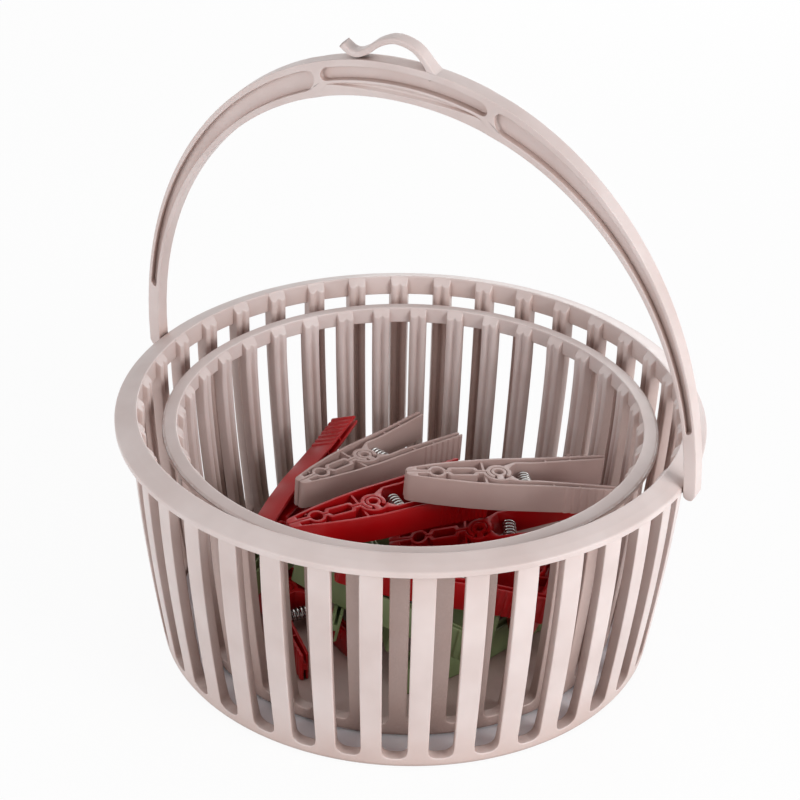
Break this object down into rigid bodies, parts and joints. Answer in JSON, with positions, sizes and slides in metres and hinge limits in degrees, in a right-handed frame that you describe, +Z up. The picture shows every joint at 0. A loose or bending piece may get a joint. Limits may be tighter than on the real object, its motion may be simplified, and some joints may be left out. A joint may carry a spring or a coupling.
{
  "type": "peg basket",
  "caption": "Round slatted plastic peg basket with a lift-out slatted liner, a swinging bail handle with a clothes-line hook, and sprung clothes pegs.",
  "frame": {"origin": "middle of the outer basket’s underside, on the surface it stands on", "axes": "+Z up; the bail swings about X, and its pivots lie on X"},
  "size_m": [0.2356, 0.2252, 0.2496],
  "materials": {
    "taupe_plastic": "moulded satin, pale mauve taupe",
    "red_plastic": "moulded satin red",
    "green_plastic": "moulded satin sage green",
    "spring_wire": "bright drawn wire"
  },
  "bodies": {
    "basket": {"outer_basket": "taupe_plastic"},
    "handle": {"bail_handle": "taupe_plastic"},
    "liner": {"liner": "taupe_plastic"},
    "pegs": {"peg_01_ring_leg": "green_plastic", "peg_02_ring_leg": "red_plastic", "peg_03_ring_leg": "green_plastic", "peg_04_ring_leg": "green_plastic", "peg_05_ring_leg": "red_plastic", "peg_06_ring_leg": "green_plastic", "peg_07_ring_leg": "green_plastic", "peg_08_ring_leg": "red_plastic", "peg_09_ring_leg": "taupe_plastic", "peg_10_ring_leg": "red_plastic", "peg_11_ring_leg": "red_plastic", "peg_12_ring_leg": "taupe_plastic", "peg_13_ring_leg": "red_plastic", "peg_14_ring_leg": "taupe_plastic", "peg_01_spring": "spring_wire", "peg_02_spring": "spring_wire", "peg_03_spring": "spring_wire", "peg_04_spring": "spring_wire", "peg_05_spring": "spring_wire", "peg_06_spring": "spring_wire", "peg_07_spring": "spring_wire", "peg_08_spring": "spring_wire", "peg_09_spring": "spring_wire", "peg_10_spring": "spring_wire", "peg_11_spring": "spring_wire", "peg_12_spring": "spring_wire", "peg_13_spring": "spring_wire", "peg_14_spring": "spring_wire"},
    "peg_01_leg": {"peg_01_knuckle_leg": "green_plastic"},
    "peg_02_leg": {"peg_02_knuckle_leg": "red_plastic"},
    "peg_03_leg": {"peg_03_knuckle_leg": "green_plastic"},
    "peg_04_leg": {"peg_04_knuckle_leg": "green_plastic"},
    "peg_05_leg": {"peg_05_knuckle_leg": "red_plastic"},
    "peg_06_leg": {"peg_06_knuckle_leg": "green_plastic"},
    "peg_07_leg": {"peg_07_knuckle_leg": "green_plastic"},
    "peg_08_leg": {"peg_08_knuckle_leg": "red_plastic"},
    "peg_09_leg": {"peg_09_knuckle_leg": "taupe_plastic"},
    "peg_10_leg": {"peg_10_knuckle_leg": "red_plastic"},
    "peg_11_leg": {"peg_11_knuckle_leg": "red_plastic"},
    "peg_12_leg": {"peg_12_knuckle_leg": "taupe_plastic"},
    "peg_13_leg": {"peg_13_knuckle_leg": "red_plastic"},
    "peg_14_leg": {"peg_14_knuckle_leg": "taupe_plastic"}
  },
  "joints": [
    {"name": "bail_swing", "type": "hinge", "parent": "basket", "child": "handle", "pos_m": [0, 0, 0.0954], "axis": [1, 0, 0], "range_deg": [-124.2, 115.8]},
    {"name": "liner_lift", "type": "slide", "parent": "basket", "child": "liner", "axis": [0, 0, 1], "range_m": [0, 0.06]},
    {"name": "pegs_lift", "type": "slide", "parent": "liner", "child": "pegs", "axis": [0, 0, 1], "range_m": [0, 0.095]},
    {"name": "peg_01_squeeze", "type": "hinge", "parent": "pegs", "child": "peg_01_leg", "pos_m": [0.03697, -0.01989, 0.01315], "axis": [0, 0, 1], "range_deg": [0, 16], "stiffness_Nm_per_rad": 1.2, "springref_deg": -14.32, "deforming": ["peg_01_spring"]},
    {"name": "peg_02_squeeze", "type": "hinge", "parent": "pegs", "child": "peg_02_leg", "pos_m": [-0.03729, -0.03172, 0.01315], "axis": [0, 0, 1], "range_deg": [0, 16], "stiffness_Nm_per_rad": 1.2, "springref_deg": -14.32, "deforming": ["peg_02_spring"]},
    {"name": "peg_03_squeeze", "type": "hinge", "parent": "pegs", "child": "peg_03_leg", "pos_m": [-0.01198, -0.01456, 0.02026], "axis": [0.112, 0.2218, 0.9686], "range_deg": [0, 16], "stiffness_Nm_per_rad": 1.2, "springref_deg": -14.32, "deforming": ["peg_03_spring"]},
    {"name": "peg_04_squeeze", "type": "hinge", "parent": "pegs", "child": "peg_04_leg", "pos_m": [0.01005, -0.04031, 0.03587], "axis": [0.1175, 0.219, 0.9686], "range_deg": [0, 16], "stiffness_Nm_per_rad": 1.2, "springref_deg": -14.32, "deforming": ["peg_04_spring"]},
    {"name": "peg_05_squeeze", "type": "hinge", "parent": "pegs", "child": "peg_05_leg", "pos_m": [0.04735, 0.01423, 0.02495], "axis": [0, 0, 1], "range_deg": [0, 16], "stiffness_Nm_per_rad": 1.2, "springref_deg": -14.32, "deforming": ["peg_05_spring"]},
    {"name": "peg_06_squeeze", "type": "hinge", "parent": "pegs", "child": "peg_06_leg", "pos_m": [-0.03106, 0.03746, 0.01315], "axis": [0, 0, 1], "range_deg": [0, 16], "stiffness_Nm_per_rad": 1.2, "springref_deg": -14.32, "deforming": ["peg_06_spring"]},
    {"name": "peg_07_squeeze", "type": "hinge", "parent": "pegs", "child": "peg_07_leg", "pos_m": [-0.05165, -0.02002, 0.02495], "axis": [0, 0, 1], "range_deg": [0, 16], "stiffness_Nm_per_rad": 1.2, "springref_deg": -14.32, "deforming": ["peg_07_spring"]},
    {"name": "peg_08_squeeze", "type": "hinge", "parent": "pegs", "child": "peg_08_leg", "pos_m": [0.02682, -0.0322, 0.04603], "axis": [0.1703, 0.1193, 0.9781], "range_deg": [0, 16], "stiffness_Nm_per_rad": 1.2, "springref_deg": -14.32, "deforming": ["peg_08_spring"]},
    {"name": "peg_09_squeeze", "type": "hinge", "parent": "pegs", "child": "peg_09_leg", "pos_m": [0.02542, 0.02411, 0.0363], "axis": [-0.1986, -0.2367, 0.9511], "range_deg": [0, 16], "stiffness_Nm_per_rad": 1.2, "springref_deg": -14.32, "deforming": ["peg_09_spring"]},
    {"name": "peg_10_squeeze", "type": "hinge", "parent": "pegs", "child": "peg_10_leg", "pos_m": [0.03057, 0.00419, 0.04458], "axis": [-0.082, -0.2791, 0.9568], "range_deg": [0, 16], "stiffness_Nm_per_rad": 1.2, "springref_deg": -14.32, "deforming": ["peg_10_spring"]},
    {"name": "peg_11_squeeze", "type": "hinge", "parent": "pegs", "child": "peg_11_leg", "pos_m": [-0.04598, -0.00399, 0.04226], "axis": [-0.9135, 0.0284, -0.4057], "range_deg": [0, 16], "stiffness_Nm_per_rad": 1.2, "springref_deg": -14.32, "deforming": ["peg_11_spring"]},
    {"name": "peg_12_squeeze", "type": "hinge", "parent": "pegs", "child": "peg_12_leg", "pos_m": [-0.02916, 0.0162, 0.05202], "axis": [0.0204, 0.0667, 0.9976], "range_deg": [0, 16], "stiffness_Nm_per_rad": 1.2, "springref_deg": -14.32, "deforming": ["peg_12_spring"]},
    {"name": "peg_13_squeeze", "type": "hinge", "parent": "pegs", "child": "peg_13_leg", "pos_m": [-0.00427, -0.0213, 0.05875], "axis": [0.0434, -0.0293, 0.9986], "range_deg": [0, 16], "stiffness_Nm_per_rad": 1.2, "springref_deg": -14.32, "deforming": ["peg_13_spring"]},
    {"name": "peg_14_squeeze", "type": "hinge", "parent": "pegs", "child": "peg_14_leg", "pos_m": [0.03579, 0.00469, 0.07047], "axis": [0.0564, 0.041, 0.9976], "range_deg": [0, 16], "stiffness_Nm_per_rad": 1.2, "springref_deg": -14.32, "deforming": ["peg_14_spring"]}
  ]
}
